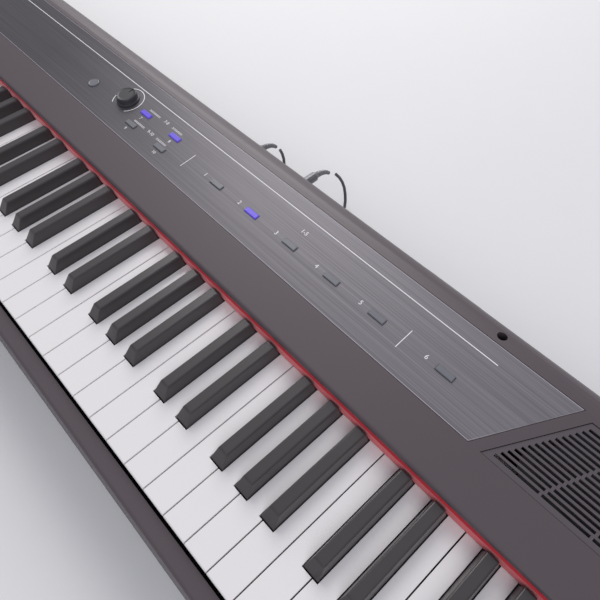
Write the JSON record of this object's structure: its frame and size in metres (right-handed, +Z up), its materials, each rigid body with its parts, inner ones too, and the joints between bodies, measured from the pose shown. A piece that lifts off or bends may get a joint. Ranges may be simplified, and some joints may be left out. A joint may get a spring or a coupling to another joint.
{
  "type": "digital piano",
  "caption": "Slim plum-grey digital piano: full keyboard, red felt, brushed control panel with lit buttons, slotted speaker grilles, rounded rear edge, power and audio leads",
  "frame": {"origin": "centre of the object's footprint at the level of the feet's undersides", "axes": "+X along the keyboard to the treble end, +Y to the rear, +Z up"},
  "size_m": [1.28, 0.3569, 0.0984],
  "materials": {
    "audio_far_plug": "dark grey flexible plastic",
    "audio_lead": "dark grey flexible plastic",
    "audio_lead_hank": "dark grey flexible plastic",
    "audio_plug": "dark grey flexible plastic",
    "case_bottom": "fine matte plum-grey moulded plastic",
    "case_top": "fine matte plum-grey moulded plastic",
    "contact_board": "green laminate board",
    "control_board": "green laminate board",
    "control_panel": "brushed along the keyboard",
    "felt_strip": "red wool felt",
    "foot_1": "soft black rubber",
    "foot_2": "soft black rubber",
    "foot_3": "soft black rubber",
    "foot_4": "soft black rubber",
    "grille_left": "matte moulded plastic",
    "grille_right": "matte moulded plastic",
    "jack_board": "green laminate board",
    "key_A6": "smooth off-white plastic",
    "key_As6": "satin black plastic",
    "key_B6": "smooth off-white plastic",
    "key_C6": "smooth off-white plastic",
    "key_Cs6": "satin black plastic",
    "key_D6": "smooth off-white plastic",
    "key_Ds6": "satin black plastic",
    "key_E6": "smooth off-white plastic",
    "key_F6": "smooth off-white plastic",
    "key_Fs6": "satin black plastic",
    "key_G6": "smooth off-white plastic",
    "key_Gs6": "satin black plastic",
    "key_bed": "zinc-plated sheet steel",
    "mode_button_1": "satin translucent plastic, lit violet-blue",
    "mode_button_2": "satin translucent plastic, lit violet-blue",
    "mode_button_3": "satin grey plastic",
    "mode_button_4": "satin grey plastic",
    "naturals_1": "smooth off-white plastic",
    "naturals_2": "smooth off-white plastic",
    "naturals_3": "smooth off-white plastic",
    "naturals_4": "smooth off-white plastic",
    "naturals_5": "smooth off-white plastic",
    "naturals_7": "smooth off-white plastic",
    "power_adapter": "dark grey flexible plastic",
    "power_button": "satin grey plastic",
    "power_lead": "dark grey flexible plastic",
    "power_lead_hank": "dark grey flexible plastic",
    "power_plug": "dark grey flexible plastic",
    "sharps_1": "satin black plastic",
    "sharps_2": "satin black plastic",
    "sharps_3": "satin black plastic",
    "sharps_4": "satin black plastic",
    "sharps_5": "satin black plastic",
    "sharps_7": "satin black plastic",
    "speaker_left": "black frame and paper cone",
    "speaker_right": "black frame and paper cone",
    "split_button": "satin grey plastic",
    "voice_button_1": "satin grey plastic",
    "voice_button_2": "satin translucent plastic, lit violet-blue",
    "voice_button_3": "satin grey plastic",
    "voice_button_4": "satin grey plastic",
    "voice_button_5": "satin grey plastic",
    "volume_knob": "satin black plastic"
  },
  "bodies": {
    "case": {"audio_far_plug": "audio_far_plug", "audio_lead": "audio_lead", "audio_lead_hank": "audio_lead_hank", "audio_plug": "audio_plug", "case_bottom": "case_bottom", "case_top": "case_top", "contact_board": "contact_board", "control_board": "control_board", "control_panel": "control_panel", "felt_strip": "felt_strip", "foot_1": "foot_1", "foot_2": "foot_2", "foot_3": "foot_3", "foot_4": "foot_4", "grille_left": "grille_left", "grille_right": "grille_right", "jack_board": "jack_board", "key_bed": "key_bed", "power_adapter": "power_adapter", "power_lead": "power_lead", "power_lead_hank": "power_lead_hank", "power_plug": "power_plug", "speaker_left": "speaker_left", "speaker_right": "speaker_right"},
    "key_A6": {"key_A6": "key_A6"},
    "key_As6": {"key_As6": "key_As6"},
    "key_B6": {"key_B6": "key_B6"},
    "key_C6": {"key_C6": "key_C6"},
    "key_Cs6": {"key_Cs6": "key_Cs6"},
    "key_D6": {"key_D6": "key_D6"},
    "key_Ds6": {"key_Ds6": "key_Ds6"},
    "key_E6": {"key_E6": "key_E6"},
    "key_F6": {"key_F6": "key_F6"},
    "key_Fs6": {"key_Fs6": "key_Fs6"},
    "key_G6": {"key_G6": "key_G6"},
    "key_Gs6": {"key_Gs6": "key_Gs6"},
    "naturals_1": {"naturals_1": "naturals_1"},
    "naturals_2": {"naturals_2": "naturals_2"},
    "naturals_3": {"naturals_3": "naturals_3"},
    "naturals_4": {"naturals_4": "naturals_4"},
    "naturals_5": {"naturals_5": "naturals_5"},
    "naturals_7": {"naturals_7": "naturals_7"},
    "sharps_1": {"sharps_1": "sharps_1"},
    "sharps_2": {"sharps_2": "sharps_2"},
    "sharps_3": {"sharps_3": "sharps_3"},
    "sharps_4": {"sharps_4": "sharps_4"},
    "sharps_5": {"sharps_5": "sharps_5"},
    "sharps_7": {"sharps_7": "sharps_7"},
    "mode_button_1": {"mode_button_1": "mode_button_1"},
    "mode_button_2": {"mode_button_2": "mode_button_2"},
    "mode_button_3": {"mode_button_3": "mode_button_3"},
    "mode_button_4": {"mode_button_4": "mode_button_4"},
    "power_button": {"power_button": "power_button"},
    "split_button": {"split_button": "split_button"},
    "voice_button_1": {"voice_button_1": "voice_button_1"},
    "voice_button_2": {"voice_button_2": "voice_button_2"},
    "voice_button_3": {"voice_button_3": "voice_button_3"},
    "voice_button_4": {"voice_button_4": "voice_button_4"},
    "voice_button_5": {"voice_button_5": "voice_button_5"},
    "volume_knob": {"volume_knob": "volume_knob"}
  },
  "joints": [
    {"name": "key_A6_hinge", "type": "hinge", "parent": "case", "child": "key_A6", "pos_m": [0.38775, 0.0545, 0.058], "axis": [1, 0, 0], "range_deg": [0, 3.2], "stiffness_Nm_per_rad": 0.4, "springref_deg": -17.19},
    {"name": "key_As6_hinge", "type": "hinge", "parent": "case", "child": "key_As6", "pos_m": [0.40286, 0.0545, 0.058], "axis": [1, 0, 0], "range_deg": [0, 3.2], "stiffness_Nm_per_rad": 0.4, "springref_deg": -17.19},
    {"name": "key_B6_hinge", "type": "hinge", "parent": "case", "child": "key_B6", "pos_m": [0.41125, 0.0545, 0.058], "axis": [1, 0, 0], "range_deg": [0, 3.2], "stiffness_Nm_per_rad": 0.4, "springref_deg": -17.19},
    {"name": "key_C6_hinge", "type": "hinge", "parent": "case", "child": "key_C6", "pos_m": [0.27025, 0.0545, 0.058], "axis": [1, 0, 0], "range_deg": [0, 3.2], "stiffness_Nm_per_rad": 0.4, "springref_deg": -17.19},
    {"name": "key_Cs6_hinge", "type": "hinge", "parent": "case", "child": "key_Cs6", "pos_m": [0.27965, 0.0545, 0.058], "axis": [1, 0, 0], "range_deg": [0, 3.2], "stiffness_Nm_per_rad": 0.4, "springref_deg": -17.19},
    {"name": "key_D6_hinge", "type": "hinge", "parent": "case", "child": "key_D6", "pos_m": [0.29375, 0.0545, 0.058], "axis": [1, 0, 0], "range_deg": [0, 3.2], "stiffness_Nm_per_rad": 0.4, "springref_deg": -17.19},
    {"name": "key_Ds6_hinge", "type": "hinge", "parent": "case", "child": "key_Ds6", "pos_m": [0.30785, 0.0545, 0.058], "axis": [1, 0, 0], "range_deg": [0, 3.2], "stiffness_Nm_per_rad": 0.4, "springref_deg": -17.19},
    {"name": "key_E6_hinge", "type": "hinge", "parent": "case", "child": "key_E6", "pos_m": [0.31725, 0.0545, 0.058], "axis": [1, 0, 0], "range_deg": [0, 3.2], "stiffness_Nm_per_rad": 0.4, "springref_deg": -17.19},
    {"name": "key_F6_hinge", "type": "hinge", "parent": "case", "child": "key_F6", "pos_m": [0.34075, 0.0545, 0.058], "axis": [1, 0, 0], "range_deg": [0, 3.2], "stiffness_Nm_per_rad": 0.4, "springref_deg": -17.19},
    {"name": "key_Fs6_hinge", "type": "hinge", "parent": "case", "child": "key_Fs6", "pos_m": [0.34914, 0.0545, 0.058], "axis": [1, 0, 0], "range_deg": [0, 3.2], "stiffness_Nm_per_rad": 0.4, "springref_deg": -17.19},
    {"name": "key_G6_hinge", "type": "hinge", "parent": "case", "child": "key_G6", "pos_m": [0.36425, 0.0545, 0.058], "axis": [1, 0, 0], "range_deg": [0, 3.2], "stiffness_Nm_per_rad": 0.4, "springref_deg": -17.19},
    {"name": "key_Gs6_hinge", "type": "hinge", "parent": "case", "child": "key_Gs6", "pos_m": [0.376, 0.0545, 0.058], "axis": [1, 0, 0], "range_deg": [0, 3.2], "stiffness_Nm_per_rad": 0.4, "springref_deg": -17.19},
    {"name": "naturals_1_hinge", "type": "hinge", "parent": "case", "child": "naturals_1", "pos_m": [-0.50525, 0.0545, 0.058], "axis": [1, 0, 0], "range_deg": [0, 3.2], "stiffness_Nm_per_rad": 3.6, "springref_deg": -17.19},
    {"name": "naturals_2_hinge", "type": "hinge", "parent": "case", "child": "naturals_2", "pos_m": [-0.31725, 0.0545, 0.058], "axis": [1, 0, 0], "range_deg": [0, 3.2], "stiffness_Nm_per_rad": 2.8, "springref_deg": -17.19},
    {"name": "naturals_3_hinge", "type": "hinge", "parent": "case", "child": "naturals_3", "pos_m": [-0.15275, 0.0545, 0.058], "axis": [1, 0, 0], "range_deg": [0, 3.2], "stiffness_Nm_per_rad": 2.8, "springref_deg": -17.19},
    {"name": "naturals_4_hinge", "type": "hinge", "parent": "case", "child": "naturals_4", "pos_m": [0.01175, 0.0545, 0.058], "axis": [1, 0, 0], "range_deg": [0, 3.2], "stiffness_Nm_per_rad": 2.8, "springref_deg": -17.19},
    {"name": "naturals_5_hinge", "type": "hinge", "parent": "case", "child": "naturals_5", "pos_m": [0.17625, 0.0545, 0.058], "axis": [1, 0, 0], "range_deg": [0, 3.2], "stiffness_Nm_per_rad": 2.8, "springref_deg": -17.19},
    {"name": "naturals_7_hinge", "type": "hinge", "parent": "case", "child": "naturals_7", "pos_m": [0.517, 0.0545, 0.058], "axis": [1, 0, 0], "range_deg": [0, 3.2], "stiffness_Nm_per_rad": 3.2, "springref_deg": -17.19},
    {"name": "sharps_1_hinge", "type": "hinge", "parent": "case", "child": "sharps_1", "pos_m": [-0.50189, 0.0545, 0.058], "axis": [1, 0, 0], "range_deg": [0, 3.2], "stiffness_Nm_per_rad": 2.4, "springref_deg": -17.19},
    {"name": "sharps_2_hinge", "type": "hinge", "parent": "case", "child": "sharps_2", "pos_m": [-0.31674, 0.0545, 0.058], "axis": [1, 0, 0], "range_deg": [0, 3.2], "stiffness_Nm_per_rad": 2, "springref_deg": -17.19},
    {"name": "sharps_3_hinge", "type": "hinge", "parent": "case", "child": "sharps_3", "pos_m": [-0.15225, 0.0545, 0.058], "axis": [1, 0, 0], "range_deg": [0, 3.2], "stiffness_Nm_per_rad": 2, "springref_deg": -17.19},
    {"name": "sharps_4_hinge", "type": "hinge", "parent": "case", "child": "sharps_4", "pos_m": [0.01226, 0.0545, 0.058], "axis": [1, 0, 0], "range_deg": [0, 3.2], "stiffness_Nm_per_rad": 2, "springref_deg": -17.19},
    {"name": "sharps_5_hinge", "type": "hinge", "parent": "case", "child": "sharps_5", "pos_m": [0.17675, 0.0545, 0.058], "axis": [1, 0, 0], "range_deg": [0, 3.2], "stiffness_Nm_per_rad": 2, "springref_deg": -17.19},
    {"name": "sharps_7_hinge", "type": "hinge", "parent": "case", "child": "sharps_7", "pos_m": [0.50575, 0.0545, 0.058], "axis": [1, 0, 0], "range_deg": [0, 3.2], "stiffness_Nm_per_rad": 2, "springref_deg": -17.19},
    {"name": "mode_button_1_press", "type": "slide", "parent": "case", "child": "mode_button_1", "axis": [0, 0.0931, -0.9957], "range_m": [0, 0.0008], "stiffness_N_per_m": 300, "springref_m": -0.0012},
    {"name": "mode_button_2_press", "type": "slide", "parent": "case", "child": "mode_button_2", "axis": [0, 0.0931, -0.9957], "range_m": [0, 0.0008], "stiffness_N_per_m": 300, "springref_m": -0.0012},
    {"name": "mode_button_3_press", "type": "slide", "parent": "case", "child": "mode_button_3", "axis": [0, 0.0931, -0.9957], "range_m": [0, 0.0008], "stiffness_N_per_m": 300, "springref_m": -0.0012},
    {"name": "mode_button_4_press", "type": "slide", "parent": "case", "child": "mode_button_4", "axis": [0, 0.0931, -0.9957], "range_m": [0, 0.0008], "stiffness_N_per_m": 300, "springref_m": -0.0012},
    {"name": "power_button_press", "type": "slide", "parent": "case", "child": "power_button", "axis": [0, 0.0931, -0.9957], "range_m": [0, 0.0008], "stiffness_N_per_m": 300, "springref_m": -0.0012},
    {"name": "split_button_press", "type": "slide", "parent": "case", "child": "split_button", "axis": [0, 0.0931, -0.9957], "range_m": [0, 0.0008], "stiffness_N_per_m": 300, "springref_m": -0.0012},
    {"name": "voice_button_1_press", "type": "slide", "parent": "case", "child": "voice_button_1", "axis": [0, 0.0931, -0.9957], "range_m": [0, 0.0008], "stiffness_N_per_m": 300, "springref_m": -0.0012},
    {"name": "voice_button_2_press", "type": "slide", "parent": "case", "child": "voice_button_2", "axis": [0, 0.0931, -0.9957], "range_m": [0, 0.0008], "stiffness_N_per_m": 300, "springref_m": -0.0012},
    {"name": "voice_button_3_press", "type": "slide", "parent": "case", "child": "voice_button_3", "axis": [0, 0.0931, -0.9957], "range_m": [0, 0.0008], "stiffness_N_per_m": 300, "springref_m": -0.0012},
    {"name": "voice_button_4_press", "type": "slide", "parent": "case", "child": "voice_button_4", "axis": [0, 0.0931, -0.9957], "range_m": [0, 0.0008], "stiffness_N_per_m": 300, "springref_m": -0.0012},
    {"name": "voice_button_5_press", "type": "slide", "parent": "case", "child": "voice_button_5", "axis": [0, 0.0931, -0.9957], "range_m": [0, 0.0008], "stiffness_N_per_m": 300, "springref_m": -0.0012},
    {"name": "volume_knob_turn", "type": "hinge", "parent": "case", "child": "volume_knob", "pos_m": [-0.0075, 0.08557, 0.09011], "axis": [0, -0.0931, 0.9957], "range_deg": [-150, 150]}
  ]
}
